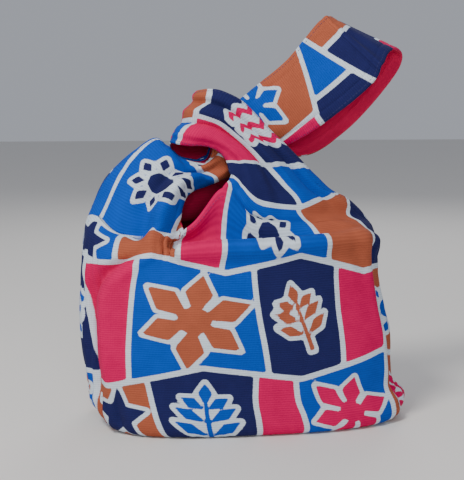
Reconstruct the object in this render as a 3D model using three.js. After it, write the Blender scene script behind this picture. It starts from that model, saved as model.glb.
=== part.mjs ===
import * as THREE from "three";

// Knotted cloth bag, stuffed and standing on its base. Millimetres, +Z up, front towards -Y.
// Each panel is cut in one with half of the long strap (left shoulder) and half of the short strap
// (right shoulder). The long strap is drawn through the loop of the short one.

// Body.
const BODY_WIDTH = 250;
const BODY_DEPTH = 120;
// Floor to the crease along the top of the front.
const BODY_HEIGHT = 146;
// Crease to the highest point of the hand loop.
const STRAP_RISE = 170;

// Cloth, from the middle of the gap between the two layers outwards.
const OUTER_CLOTH = 1.2;
const LINING_CLOTH = 1;
const LAYER_GAP = 0.35;
const SEAM_GAP = 0.3;

// Half the depth of the long strap where the knot squeezes it.
const SQUEEZED_DEPTH = 14.5;
const KNOT_CLEARANCE = 1.95;
const DOUBLE_CLOTH = OUTER_CLOTH + LAYER_GAP + LINING_CLOTH;
// Half the depth of the short strap's loop, which goes round the squeezed long strap.
const SLEEVE_DEPTH = SQUEEZED_DEPTH + DOUBLE_CLOTH + LAYER_GAP + KNOT_CLEARANCE + 0.15;

// Where the mouth lies along a panel's width, as shares from the left side seam.
const MOUTH_LEFT = 0.34;
const MOUTH_RIGHT = 0.44;
const MOUTH_MIDDLE = (MOUTH_LEFT + MOUTH_RIGHT) / 2;
// How far to each side of the mouth the back stands higher.
const RISE_SPREAD = 0.22;

// Where the five heights of a body row lie along a panel's width, as shares from the left side seam.
const HEIGHT_PLACES = [0, 0.16, 0.5, 0.84, 1];

// Mesh columns of the left shoulder, the mouth and the right shoulder.
const LEFT_COLUMNS = 6;
const MOUTH_COLUMNS = 2;
const RIGHT_COLUMNS = 8;
const STRAP_STEPS = 2;
const ARC_SAMPLES = 240;

const HALF_WIDTH = BODY_WIDTH / 2;
const HALF_DEPTH = BODY_DEPTH / 2;

function table(columns, rows) {
  return rows.map((row) => Object.fromEntries(columns.map((name, k) => [name, row[k]])));
}

// A row for each level from the base seam up. Heights are shares of BODY_HEIGHT along the width
// (left seam, three places on the front, right seam), reaches are shares of half BODY_WIDTH and
// forward ones shares of half BODY_DEPTH. The back stands higher than the front by backRise.
const BODY_ROWS = table(
  [
    "seamLeft",
    "frontLeft",
    "frontMiddle",
    "frontRight",
    "seamRight",
    "reachLeft",
    "reachRight",
    "forwardLeft",
    "forwardRight",
    "squareness",
    "backRise",
  ],
  [
    [0.034, 0, 0, 0, 0.014, 0.784, 0.832, 0, 0, 2, 0],
    [0.045, 0, 0, 0, 0.017, 0.808, 0.872, 0.467, 0.467, 2.4, 0],
    [0.062, 0, 0, 0, 0.024, 0.848, 0.92, 0.85, 0.85, 2.7, 0],
    [0.089, 0.007, 0.007, 0.007, 0.038, 0.888, 0.984, 0.975, 0.975, 2.8, 0],
    [0.12, 0.034, 0.034, 0.034, 0.068, 0.936, 1.028, 1.017, 1.017, 2.8, 0],
    [0.164, 0.096, 0.096, 0.096, 0.116, 0.964, 1.02, 1.033, 1.033, 2.7, 0],
    [0.212, 0.185, 0.185, 0.185, 0.171, 0.968, 0.968, 1.033, 1.033, 2.6, 0],
    [0.315, 0.308, 0.308, 0.308, 0.26, 0.984, 0.96, 1.033, 1.033, 2.6, 0],
    [0.466, 0.466, 0.466, 0.466, 0.438, 1.012, 0.948, 1.033, 1.033, 2.5, 0],
    [0.63, 0.623, 0.63, 0.63, 0.603, 1.012, 0.9, 1.025, 1.025, 2.4, 0],
    [0.781, 0.767, 0.774, 0.781, 0.74, 1.004, 0.868, 1.008, 1.008, 2.4, 0],
    [0.904, 0.877, 0.897, 0.918, 0.849, 0.992, 0.852, 0.975, 0.992, 2.4, 0.007],
    [1, 0.945, 0.986, 1.01, 0.932, 0.98, 0.848, 0.942, 0.95, 2.4, 0.027],
    [1.075, 1.007, 1.021, 1.041, 0.986, 0.96, 0.84, 0.9, 0.783, 2.3, 0.082],
    [1.151, 1.021, 1.082, 1.068, 1.027, 0.92, 0.824, 0.817, 0.617, 2.3, 0.171],
  ],
);

// Rows up a strap from its shoulder. X is a share of half BODY_WIDTH, Z a share of STRAP_RISE above
// BODY_HEIGHT. Outer is the edge that goes on from the side seam, inner the edge that goes on from
// the mouth. The long strap's Y and bulge are shares of SQUEEZED_DEPTH.
const LONG_STRAP_FRONT = table(
  ["outerX", "outerY", "outerZ", "innerX", "innerY", "innerZ", "bulge"],
  [
    [-0.864, -0.207, 0.235, -0.392, -2.621, 0.1, 0.828],
    [-0.768, -0.345, 0.318, -0.376, -2.276, 0.147, 0.759],
    [-0.656, -0.379, 0.385, -0.344, -1.862, 0.188, 0.621],
    [-0.536, -0.379, 0.432, -0.288, -1.379, 0.206, 0.552],
    [-0.456, -0.31, 0.376, -0.216, -0.897, 0.218, 0.552],
    [-0.368, -0.276, 0.379, -0.136, -0.552, 0.241, 0.621],
    [-0.272, -0.276, 0.447, -0.04, -0.414, 0.274, 0.655],
    [-0.144, -0.276, 0.529, 0.072, -0.345, 0.329, 0.69],
    [-0.016, -0.276, 0.609, 0.216, -0.414, 0.385, 0.621],
    [0.112, -0.483, 0.691, 0.36, -0.897, 0.444, 0.414],
    [0.248, -0.828, 0.779, 0.496, -1.655, 0.515, 0.207],
    [0.36, -1.172, 0.879, 0.64, -2.483, 0.606, 0.069],
    [0.448, -1.379, 0.959, 0.76, -2.966, 0.697, 0.034],
    [0.496, -1.103, 0.976, 0.808, -3.034, 0.771, 0],
    [0.528, -0.621, 0.988, 0.848, -2.621, 0.815, 0],
    [0.544, -0.138, 0.992, 0.904, -1.931, 0.838, 0],
  ],
);

const LONG_STRAP_BACK = table(
  ["outerX", "outerY", "outerZ", "innerX", "innerY", "innerZ", "bulge"],
  [
    [-0.864, 0.207, 0.235, -0.368, 2.621, 0.224, 0.828],
    [-0.768, 0.345, 0.318, -0.336, 2.207, 0.232, 0.759],
    [-0.656, 0.379, 0.385, -0.296, 1.793, 0.241, 0.621],
    [-0.536, 0.379, 0.432, -0.248, 1.345, 0.241, 0.552],
    [-0.456, 0.31, 0.376, -0.188, 0.897, 0.241, 0.552],
    [-0.368, 0.276, 0.379, -0.12, 0.552, 0.253, 0.621],
    [-0.272, 0.276, 0.447, -0.04, 0.414, 0.276, 0.655],
    [-0.144, 0.276, 0.529, 0.088, 0.345, 0.318, 0.69],
    [-0.008, 0.276, 0.6, 0.288, 0.414, 0.347, 0.621],
    [0.136, 0.552, 0.647, 0.48, 0.483, 0.368, 0.414],
    [0.288, 0.759, 0.724, 0.664, 0.069, 0.468, 0.207],
    [0.408, 0.828, 0.818, 0.832, -0.138, 0.594, 0.069],
    [0.496, 0.828, 0.924, 0.976, -0.345, 0.732, 0.034],
    [0.552, 0.759, 0.982, 1.016, -0.414, 0.803, 0],
    [0.556, 0.414, 0.994, 0.98, -0.966, 0.835, 0],
    [0.544, -0.138, 0.992, 0.904, -1.931, 0.838, 0],
  ],
);

// The short strap's Y and bulge are shares of SLEEVE_DEPTH.
const SHORT_STRAP_FRONT = table(
  ["outerX", "outerY", "outerZ", "innerX", "innerY", "innerZ", "bulge"],
  [
    [0.76, -0.256, 0.082, -0.152, -1.692, 0.112, 0.667],
    [0.664, -0.462, 0.141, -0.112, -1.436, 0.188, 0.564],
    [0.536, -0.667, 0.188, -0.104, -1.282, 0.265, 0.41],
    [0.4, -0.872, 0.282, -0.108, -1.154, 0.329, 0.256],
    [0.264, -0.974, 0.382, -0.144, -1.077, 0.374, 0.205],
    [0.12, -1, 0.488, -0.208, -1.051, 0.406, 0.154],
    [-0.024, -1, 0.597, -0.288, -1.026, 0.418, 0.154],
    [-0.136, -0.949, 0.641, -0.352, -0.974, 0.415, 0.128],
    [-0.208, -0.718, 0.653, -0.408, -0.718, 0.412, 0.051],
    [-0.256, -0.359, 0.653, -0.436, -0.359, 0.412, 0],
    [-0.272, 0, 0.65, -0.444, 0, 0.412, 0],
  ],
);

const SHORT_STRAP_BACK = table(
  ["outerX", "outerY", "outerZ", "innerX", "innerY", "innerZ", "bulge"],
  [
    [0.76, 0.256, 0.082, -0.176, 1.692, 0.241, 0.667],
    [0.664, 0.462, 0.141, -0.152, 1.462, 0.271, 0.564],
    [0.536, 0.667, 0.188, -0.128, 1.308, 0.3, 0.41],
    [0.4, 0.872, 0.282, -0.12, 1.154, 0.338, 0.256],
    [0.264, 0.974, 0.382, -0.144, 1.077, 0.374, 0.205],
    [0.12, 1, 0.488, -0.208, 1.051, 0.406, 0.154],
    [-0.024, 1, 0.597, -0.288, 1.026, 0.418, 0.154],
    [-0.136, 0.949, 0.641, -0.352, 0.974, 0.415, 0.128],
    [-0.208, 0.718, 0.653, -0.408, 0.718, 0.412, 0.051],
    [-0.256, 0.359, 0.653, -0.436, 0.359, 0.412, 0],
    [-0.272, 0, 0.65, -0.444, 0, 0.412, 0],
  ],
);

// Dents and folds pressed into a panel: place across the width (share from the left seam) and up
// (row of BODY_ROWS), spread in the same measures, and depth as a share of half BODY_DEPTH.
const FOLDS = table(
  ["across", "up", "wide", "tall", "depth"],
  [
    [0.1, 9, 0.025, 3, -0.04],
    [0.16, 8.5, 0.03, 3, 0.035],
    [0.3, 12.5, 0.03, 2, -0.05],
    [0.52, 9, 0.12, 2.5, 0.03],
    [0.78, 11, 0.06, 1.5, -0.035],
    [0.9, 7, 0.04, 2.5, -0.03],
  ],
);

// Row of BODY_ROWS above which folds fade in.
const FOLDS_START = 3;

const COLUMNS = LEFT_COLUMNS + MOUTH_COLUMNS + RIGHT_COLUMNS;
const MOUTH_END = LEFT_COLUMNS + MOUTH_COLUMNS;
const TOP_ROW = BODY_ROWS.length - 1;

const clamp01 = (t) => Math.min(1, Math.max(0, t));
const smooth = (t) => clamp01(t) ** 2 * (3 - 2 * clamp01(t));
const mix = (a, b, t) => a + (b - a) * t;

// Smooth curve through four values spaced evenly, between the middle two.
function spline(a, b, c, d, t) {
  const square = (2 * a - 5 * b + 4 * c - d) * t ** 2;
  const cube = (3 * b - a - 3 * c + d) * t ** 3;
  return 0.5 * (2 * b + (c - a) * t + square + cube);
}

// Height at a share of the panel's width, level at each place that has its own height.
function heightAt(heights, share) {
  const k = share < 1 ? HEIGHT_PLACES.findIndex((place) => place > share) : HEIGHT_PLACES.length - 1;
  const place = (share - HEIGHT_PLACES[k - 1]) / (HEIGHT_PLACES[k] - HEIGHT_PLACES[k - 1]);
  return mix(heights[k - 1], heights[k], smooth(place));
}

function columnShare(column) {
  if (column <= LEFT_COLUMNS) return (MOUTH_LEFT * column) / LEFT_COLUMNS;
  if (column <= MOUTH_END) return mix(MOUTH_LEFT, MOUTH_RIGHT, (column - LEFT_COLUMNS) / MOUTH_COLUMNS);
  return mix(MOUTH_RIGHT, 1, (column - MOUTH_END) / RIGHT_COLUMNS);
}

// A level of the body in plan: half a rounded rectangle from the left seam round the front to the
// right seam, as a list of points spaced evenly along the cloth.
function planOf(row) {
  const half = ((row.reachLeft + row.reachRight) / 2) * HALF_WIDTH;
  const middle = ((row.reachRight - row.reachLeft) / 2) * HALF_WIDTH;
  const points = [];
  for (let k = 0; k <= ARC_SAMPLES; k++) {
    const turn = (Math.PI * k) / ARC_SAMPLES;
    const x = -Math.sign(Math.cos(turn)) * half * Math.abs(Math.cos(turn)) ** (2 / row.squareness);
    const share = smooth(x / half / 0.6 + 1);
    const forward = mix(row.forwardLeft, row.forwardRight, share) * HALF_DEPTH;
    points.push([middle + x, forward * Math.sin(turn) ** (2 / row.squareness)]);
  }
  const lengths = [0];
  for (let k = 1; k <= ARC_SAMPLES; k++) {
    const step = Math.hypot(points[k][0] - points[k - 1][0], points[k][1] - points[k - 1][1]);
    lengths.push(lengths[k - 1] + step);
  }
  return (share) => {
    const target = share * lengths[ARC_SAMPLES];
    const k = Math.max(1, lengths.findIndex((length) => length >= target));
    const t = share === 0 ? 0 : (target - lengths[k - 1]) / (lengths[k] - lengths[k - 1]);
    return [mix(points[k - 1][0], points[k][0], t), mix(points[k - 1][1], points[k][1], t)];
  };
}

// Rows of points of the body, side -1 for the front and 1 for the back.
function bodyRows(side) {
  return BODY_ROWS.map((row) => {
    const plan = planOf(row);
    const heights = [row.seamLeft, row.frontLeft, row.frontMiddle, row.frontRight, row.seamRight];
    const points = [];
    for (let column = 0; column <= COLUMNS; column++) {
      const share = columnShare(column);
      const [x, forward] = plan(share);
      const fromMouth = (share - MOUTH_MIDDLE) / RISE_SPREAD;
      const nearMouth = Math.exp(-(fromMouth ** 2)) * Math.sin(Math.PI * share);
      const rise = side > 0 ? row.backRise * nearMouth : 0;
      points.push(new THREE.Vector3(x, side * forward, (heightAt(heights, share) + rise) * BODY_HEIGHT));
    }
    return points;
  });
}

// Rows of points of a strap half, between its table rows too. Body rows below the shoulder lead the
// curves in. Columns run from left to right.
function strapRows(lead, rows, unit, flip, side) {
  const count = lead[0].length - 1;
  const corner = (x, y, z) => new THREE.Vector3(x * HALF_WIDTH, y * unit, BODY_HEIGHT + z * STRAP_RISE);
  const keys = rows.map((row) => {
    const outer = corner(row.outerX, row.outerY, row.outerZ);
    const inner = corner(row.innerX, row.innerY, row.innerZ);
    const [from, to] = flip ? [inner, outer] : [outer, inner];
    return lead[0].map((_, k) => {
      const share = k / count;
      const point = from.clone().lerp(to, share);
      point.y += side * row.bulge * unit * (4 * share * (1 - share)) ** 0.6;
      return point;
    });
  });
  const all = [...lead, ...keys];
  const start = lead.length - 1;
  const made = [];
  for (let k = start; k < all.length - 1; k++) {
    const at = (n) => all[Math.min(all.length - 1, n)];
    for (let step = 0; step < STRAP_STEPS; step++) {
      const t = step / STRAP_STEPS;
      made.push(
        at(k).map((_, c) => {
          const four = [at(k - 1)[c], at(k)[c], at(k + 1)[c], at(k + 2)[c]];
          return new THREE.Vector3(
            spline(...four.map((p) => p.x), t),
            spline(...four.map((p) => p.y), t),
            spline(...four.map((p) => p.z), t),
          );
        }),
      );
    }
  }
  made.push(all[all.length - 1]);
  return made;
}

function foldDepth(share, row) {
  let depth = 0;
  for (const fold of FOLDS) {
    const spread = ((share - fold.across) / fold.wide) ** 2 + ((row - fold.up) / fold.tall) ** 2;
    depth += fold.depth * HALF_DEPTH * Math.exp(-spread);
  }
  return depth * smooth((row - FOLDS_START) / 3);
}

// The middle surface of the whole bag. Vertices on a seam are shared by the front and the back.
const vertices = new Map();
const panels = { front: [], back: [] };

function vertex(key, point, pull, fold) {
  if (!vertices.has(key)) vertices.set(key, { point, normal: new THREE.Vector3(), pulls: {}, fold });
  const made = vertices.get(key);
  if (pull) Object.assign(made.pulls, pull);
  return made;
}

function addGrid(panel, side, grid) {
  for (let r = 0; r + 1 < grid.length; r++)
    for (let c = 0; c + 1 < grid[r].length; c++) {
      const quad = [grid[r][c], grid[r][c + 1], grid[r + 1][c + 1], grid[r + 1][c]];
      panels[panel].push(side < 0 ? quad : quad.reverse());
    }
}

for (const [panel, side] of [["front", -1], ["back", 1]]) {
  const body = bodyRows(side);
  const bodyGrid = body.map((points, r) =>
    points.map((point, c) => {
      const seam = r === 0 || c === 0 || c === COLUMNS;
      const key = seam ? `seam ${r} ${c}` : `${panel} body ${r} ${c}`;
      const pull = seam ? { [panel]: new THREE.Vector3(0, side, 0) } : null;
      return vertex(key, point, pull, seam ? 0 : foldDepth(columnShare(c), r));
    }),
  );
  addGrid(panel, side, bodyGrid);
  const shoulder = (from, to, rows, unit, flip, name) => {
    const lead = [TOP_ROW - 1, TOP_ROW].map((r) => body[r].slice(from, to + 1));
    const made = strapRows(lead, rows, unit, flip, side);
    const last = made.length - 1;
    const grid = made.map((points, r) =>
      points.map((point, k) => {
        if (r === 0) return bodyGrid[TOP_ROW][from + k];
        const key = r === last ? `${name} end ${k}` : `${panel} ${name} ${r} ${k}`;
        const towards = made[last - 1][k].clone().sub(point).normalize();
        return vertex(key, point, r === last ? { [panel]: towards } : null, 0);
      }),
    );
    addGrid(panel, side, grid);
  };
  const longRows = side < 0 ? LONG_STRAP_FRONT : LONG_STRAP_BACK;
  const shortRows = side < 0 ? SHORT_STRAP_FRONT : SHORT_STRAP_BACK;
  shoulder(0, LEFT_COLUMNS, longRows, SQUEEZED_DEPTH, false, "long");
  shoulder(MOUTH_END, COLUMNS, shortRows, SLEEVE_DEPTH, true, "short");
}

function faceNormal(a, b, c) {
  return b.point.clone().sub(a.point).cross(c.point.clone().sub(a.point));
}

function findNormals() {
  for (const v of vertices.values()) v.normal.set(0, 0, 0);
  for (const quads of Object.values(panels))
    for (const [a, b, c, d] of quads)
      for (const [p, q, r] of [[a, b, c], [a, c, d]]) {
        const normal = faceNormal(p, q, r);
        for (const v of [p, q, r]) v.normal.add(normal);
      }
  for (const v of vertices.values()) v.normal.normalize();
}

findNormals();
for (const v of vertices.values()) v.point.addScaledVector(v.normal, v.fold);
findNormals();

// The base stands on its flat outer face, with the bag's box centred over the origin.
const OUTER_FACE = LAYER_GAP / 2 + OUTER_CLOTH;
const box = new THREE.Box3();
for (const v of vertices.values()) box.expandByPoint(v.point.clone().addScaledVector(v.normal, OUTER_FACE));
const centre = box.getCenter(new THREE.Vector3());
const place = new THREE.Vector3(-centre.x, -centre.y, OUTER_FACE);
for (const v of vertices.values()) v.point.add(place);

// One layer of one panel as a closed solid: far and near are distances out from the middle surface.
function layer(panel, far, near) {
  const index = new Map();
  const positions = [];
  const put = (v, distance) => {
    if (!index.has(v)) index.set(v, new Map());
    const made = index.get(v);
    if (!made.has(distance)) {
      const point = v.point.clone().addScaledVector(v.normal, distance);
      if (v.pulls[panel]) point.addScaledVector(v.pulls[panel], SEAM_GAP / 2);
      made.set(distance, positions.length / 3);
      positions.push(point.x, point.y, point.z);
    }
    return made.get(distance);
  };
  const faces = [];
  const edges = new Map();
  const ids = new Map();
  const idOf = (v) => {
    if (!ids.has(v)) ids.set(v, ids.size);
    return ids.get(v);
  };
  for (const [a, b, c, d] of panels[panel]) {
    const shortAc = a.point.distanceTo(c.point) <= b.point.distanceTo(d.point);
    const halves = shortAc ? [[a, b, c], [a, c, d]] : [[b, c, d], [b, d, a]];
    for (const [p, q, r] of halves) {
      faces.push(put(p, far), put(q, far), put(r, far));
      faces.push(put(r, near), put(q, near), put(p, near));
    }
    for (const [p, q] of [[a, b], [b, c], [c, d], [d, a]]) edges.set(`${idOf(p)} ${idOf(q)}`, [p, q]);
  }
  for (const [p, q] of edges.values()) {
    if (edges.has(`${idOf(q)} ${idOf(p)}`)) continue;
    faces.push(put(p, far), put(q, near), put(q, far));
    faces.push(put(p, far), put(p, near), put(q, near));
  }
  const geometry = new THREE.BufferGeometry();
  geometry.setAttribute("position", new THREE.Float32BufferAttribute(positions, 3));
  geometry.setIndex(faces);
  geometry.computeVertexNormals();
  return geometry;
}

const printedCloth = new THREE.MeshStandardMaterial({ color: 0x1f5fc0, roughness: 0.85, metalness: 0 });
const liningCloth = new THREE.MeshStandardMaterial({ color: 0xa8203c, roughness: 0.9, metalness: 0 });

const bag = new THREE.Group();
bag.name = "knot_bag";

function add(name, geometry, material) {
  const mesh = new THREE.Mesh(geometry, material.clone());
  mesh.name = name;
  bag.add(mesh);
}

for (const panel of ["front", "back"]) {
  add(`outer_${panel}`, layer(panel, OUTER_FACE, LAYER_GAP / 2), printedCloth);
  add(`lining_${panel}`, layer(panel, -LAYER_GAP / 2, -LAYER_GAP / 2 - LINING_CLOTH), liningCloth);
}

export default bag;
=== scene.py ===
import math

import bpy
import numpy as np
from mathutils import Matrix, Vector, noise


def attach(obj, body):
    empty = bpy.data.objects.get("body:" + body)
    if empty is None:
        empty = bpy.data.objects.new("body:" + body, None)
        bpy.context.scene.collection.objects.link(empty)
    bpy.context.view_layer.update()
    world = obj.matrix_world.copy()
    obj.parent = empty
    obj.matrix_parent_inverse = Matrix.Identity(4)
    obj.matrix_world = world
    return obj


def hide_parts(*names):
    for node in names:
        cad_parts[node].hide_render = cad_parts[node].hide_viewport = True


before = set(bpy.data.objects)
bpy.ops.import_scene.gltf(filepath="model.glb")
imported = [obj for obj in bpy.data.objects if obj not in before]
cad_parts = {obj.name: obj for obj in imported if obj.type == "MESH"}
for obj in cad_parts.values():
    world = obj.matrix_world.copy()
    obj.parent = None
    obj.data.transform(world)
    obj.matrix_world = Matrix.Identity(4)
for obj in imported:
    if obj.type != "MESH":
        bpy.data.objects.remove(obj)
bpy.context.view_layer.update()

# Sizes in millimetres, as in the part's own source.
METRES = 0.001
BODY_WIDTH = 250.0
BODY_DEPTH = 120.0
BODY_HEIGHT = 146.0
STRAP_RISE = 170.0
OUTER_CLOTH = 1.2
LINING_CLOTH = 1.0
LAYER_GAP = 0.35
SEAM_GAP = 0.3
SQUEEZED_DEPTH = 14.5
SLEEVE_DEPTH = 19.5
HALF_WIDTH = BODY_WIDTH / 2
HALF_DEPTH = BODY_DEPTH / 2
OUTER_FACE = LAYER_GAP / 2 + OUTER_CLOTH
# The solids are centred on their own box, which moves the bag this far to the left.
CENTRE_SHIFT = -0.958

# The front faces -Y.
SIDES = {"front": -1, "back": 1}

# Where the mouth lies along a panel's width, as shares from the left side seam.
MOUTH_LEFT = 0.34
MOUTH_RIGHT = 0.44
MOUTH_MIDDLE = (MOUTH_LEFT + MOUTH_RIGHT) / 2
RISE_SPREAD = 0.22


def table(columns, *rows):
    """Rows as dictionaries. A row may leave out its last columns."""
    names = columns.split()
    return [dict(zip(names, row)) for row in rows]


# A row for each level of the body from the base seam up: heights as shares of BODY_HEIGHT,
# reaches of HALF_WIDTH, and how far it stands forward of HALF_DEPTH.
BODY_ROWS = table(
    "seamLeft frontLeft frontMiddle frontRight seamRight "
    "reachLeft reachRight forwardLeft forwardRight squareness backRise",
    (0.034, 0, 0, 0, 0.014, 0.784, 0.832, 0, 0, 2, 0),
    (0.045, 0, 0, 0, 0.017, 0.808, 0.872, 0.467, 0.467, 2.4, 0),
    (0.062, 0, 0, 0, 0.024, 0.848, 0.92, 0.85, 0.85, 2.7, 0),
    (0.089, 0.007, 0.007, 0.007, 0.038, 0.888, 0.984, 0.975, 0.975, 2.8, 0),
    (0.12, 0.034, 0.034, 0.034, 0.068, 0.936, 1.028, 1.017, 1.017, 2.8, 0),
    (0.164, 0.096, 0.096, 0.096, 0.116, 0.964, 1.02, 1.033, 1.033, 2.7, 0),
    (0.212, 0.185, 0.185, 0.185, 0.171, 0.968, 0.968, 1.033, 1.033, 2.6, 0),
    (0.315, 0.308, 0.308, 0.308, 0.26, 0.984, 0.96, 1.033, 1.033, 2.6, 0),
    (0.466, 0.466, 0.466, 0.466, 0.438, 1.012, 0.948, 1.033, 1.033, 2.5, 0),
    (0.63, 0.623, 0.63, 0.63, 0.603, 1.012, 0.9, 1.025, 1.025, 2.4, 0),
    (0.781, 0.767, 0.774, 0.781, 0.74, 1.004, 0.868, 1.008, 1.008, 2.4, 0),
    (0.904, 0.877, 0.897, 0.918, 0.849, 0.992, 0.852, 0.975, 0.992, 2.4, 0.007),
    (1, 0.945, 0.986, 1.01, 0.932, 0.98, 0.848, 0.942, 0.95, 2.4, 0.027),
    (1.075, 1.007, 1.021, 1.041, 0.986, 0.96, 0.84, 0.9, 0.783, 2.3, 0.082),
    (1.151, 1.021, 1.082, 1.068, 1.027, 0.92, 0.824, 0.817, 0.617, 2.3, 0.171),
)

# Rows up each strap half from its shoulder: the places of its two edges, as shares of
# HALF_WIDTH, of the strap's depth at the knot and of STRAP_RISE, and how far it bulges.
LONG_STRAP_FRONT = table(
    "outerX outerY outerZ innerX innerY innerZ bulge",
    (-0.864, -0.207, 0.235, -0.392, -2.621, 0.1, 0.828),
    (-0.768, -0.345, 0.318, -0.376, -2.276, 0.147, 0.759),
    (-0.656, -0.379, 0.385, -0.344, -1.862, 0.188, 0.621),
    (-0.536, -0.379, 0.432, -0.288, -1.379, 0.206, 0.552),
    (-0.456, -0.31, 0.376, -0.216, -0.897, 0.218, 0.552),
    (-0.368, -0.276, 0.379, -0.136, -0.552, 0.241, 0.621),
    (-0.272, -0.276, 0.447, -0.04, -0.414, 0.274, 0.655),
    (-0.144, -0.276, 0.529, 0.072, -0.345, 0.329, 0.69),
    (-0.016, -0.276, 0.609, 0.216, -0.414, 0.385, 0.621),
    (0.112, -0.483, 0.691, 0.36, -0.897, 0.444, 0.414),
    (0.248, -0.828, 0.779, 0.496, -1.655, 0.515, 0.207),
    (0.36, -1.172, 0.879, 0.64, -2.483, 0.606, 0.069),
    (0.448, -1.379, 0.959, 0.76, -2.966, 0.697, 0.034),
    (0.496, -1.103, 0.976, 0.808, -3.034, 0.771, 0),
    (0.528, -0.621, 0.988, 0.848, -2.621, 0.815, 0),
    (0.544, -0.138, 0.992, 0.904, -1.931, 0.838, 0),
)
LONG_STRAP_BACK = table(
    "outerX outerY outerZ innerX innerY innerZ bulge",
    (-0.864, 0.207, 0.235, -0.368, 2.621, 0.224, 0.828),
    (-0.768, 0.345, 0.318, -0.336, 2.207, 0.232, 0.759),
    (-0.656, 0.379, 0.385, -0.296, 1.793, 0.241, 0.621),
    (-0.536, 0.379, 0.432, -0.248, 1.345, 0.241, 0.552),
    (-0.456, 0.31, 0.376, -0.188, 0.897, 0.241, 0.552),
    (-0.368, 0.276, 0.379, -0.12, 0.552, 0.253, 0.621),
    (-0.272, 0.276, 0.447, -0.04, 0.414, 0.276, 0.655),
    (-0.144, 0.276, 0.529, 0.088, 0.345, 0.318, 0.69),
    (-0.008, 0.276, 0.6, 0.288, 0.414, 0.347, 0.621),
    (0.136, 0.552, 0.647, 0.48, 0.483, 0.368, 0.414),
    (0.288, 0.759, 0.724, 0.664, 0.069, 0.468, 0.207),
    (0.408, 0.828, 0.818, 0.832, -0.138, 0.594, 0.069),
    (0.496, 0.828, 0.924, 0.976, -0.345, 0.732, 0.034),
    (0.552, 0.759, 0.982, 1.016, -0.414, 0.803, 0),
    (0.556, 0.414, 0.994, 0.98, -0.966, 0.835, 0),
    (0.544, -0.138, 0.992, 0.904, -1.931, 0.838, 0),
)
SHORT_STRAP_FRONT = table(
    "outerX outerY outerZ innerX innerY innerZ bulge",
    (0.76, -0.256, 0.082, -0.152, -1.692, 0.112, 0.667),
    (0.664, -0.462, 0.141, -0.112, -1.436, 0.188, 0.564),
    (0.536, -0.667, 0.188, -0.104, -1.282, 0.265, 0.41),
    (0.4, -0.872, 0.282, -0.108, -1.154, 0.329, 0.256),
    (0.264, -0.974, 0.382, -0.144, -1.077, 0.374, 0.205),
    (0.12, -1, 0.488, -0.208, -1.051, 0.406, 0.154),
    (-0.024, -1, 0.597, -0.288, -1.026, 0.418, 0.154),
    (-0.136, -0.949, 0.641, -0.352, -0.974, 0.415, 0.128),
    (-0.208, -0.718, 0.653, -0.408, -0.718, 0.412, 0.051),
    (-0.256, -0.359, 0.653, -0.436, -0.359, 0.412, 0),
    (-0.272, 0, 0.65, -0.444, 0, 0.412, 0),
)
SHORT_STRAP_BACK = table(
    "outerX outerY outerZ innerX innerY innerZ bulge",
    (0.76, 0.256, 0.082, -0.176, 1.692, 0.241, 0.667),
    (0.664, 0.462, 0.141, -0.152, 1.462, 0.271, 0.564),
    (0.536, 0.667, 0.188, -0.128, 1.308, 0.3, 0.41),
    (0.4, 0.872, 0.282, -0.12, 1.154, 0.338, 0.256),
    (0.264, 0.974, 0.382, -0.144, 1.077, 0.374, 0.205),
    (0.12, 1, 0.488, -0.208, 1.051, 0.406, 0.154),
    (-0.024, 1, 0.597, -0.288, 1.026, 0.418, 0.154),
    (-0.136, 0.949, 0.641, -0.352, 0.974, 0.415, 0.128),
    (-0.208, 0.718, 0.653, -0.408, 0.718, 0.412, 0.051),
    (-0.256, 0.359, 0.653, -0.436, 0.359, 0.412, 0),
    (-0.272, 0, 0.65, -0.444, 0, 0.412, 0),
)
TOP_ROW = len(BODY_ROWS) - 1
# Where a level's five heights are given, as shares of the width.
HEIGHT_NAMES = ["seamLeft", "frontLeft", "frontMiddle", "frontRight", "seamRight"]
HEIGHT_PLACES = [0, 0.16, 0.5, 0.84, 1]
LEVEL_POINTS = 721
FORWARD_BLEND = 0.6
STRAP_ARCH = 0.6

# In the tables of folds, a fold with no end before the cloth's own, and one of full width.
NO_END = 99
FULL = 9

# Hollows and swells: where they lie across and up, their spreads, and their depth outwards in
# millimetres. The first six are in the solids too.
HOLLOWS = table(
    "panel across wide up tall depth",
    ("both", 0.1, 0.025, 9, 3, -2.4),
    ("both", 0.16, 0.03, 8.5, 3, 2.1),
    ("both", 0.3, 0.03, 12.5, 2, -3.0),
    ("both", 0.52, 0.12, 9, 2.5, 1.8),
    ("both", 0.78, 0.06, 11, 1.5, -2.1),
    ("both", 0.9, 0.04, 7, 2.5, -1.8),
    ("front", 0.1, 0.035, 5.2, 1.0, 4.0),
    ("front", 0.158, 0.02, 5.0, 1.3, -6.0),
    ("front", 0.935, 0.03, 5.0, 0.9, 3.5),
    ("front", 0.94, 0.03, 7.0, 0.7, -4.0),
    ("back", 0.1, 0.035, 5.2, 1.0, 3.0),
    ("back", 0.158, 0.02, 5.0, 1.3, -4.5),
    ("back", 0.935, 0.03, 5.0, 0.9, 2.6),
    ("back", 0.94, 0.03, 7.0, 0.7, -3.0),
)

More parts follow.
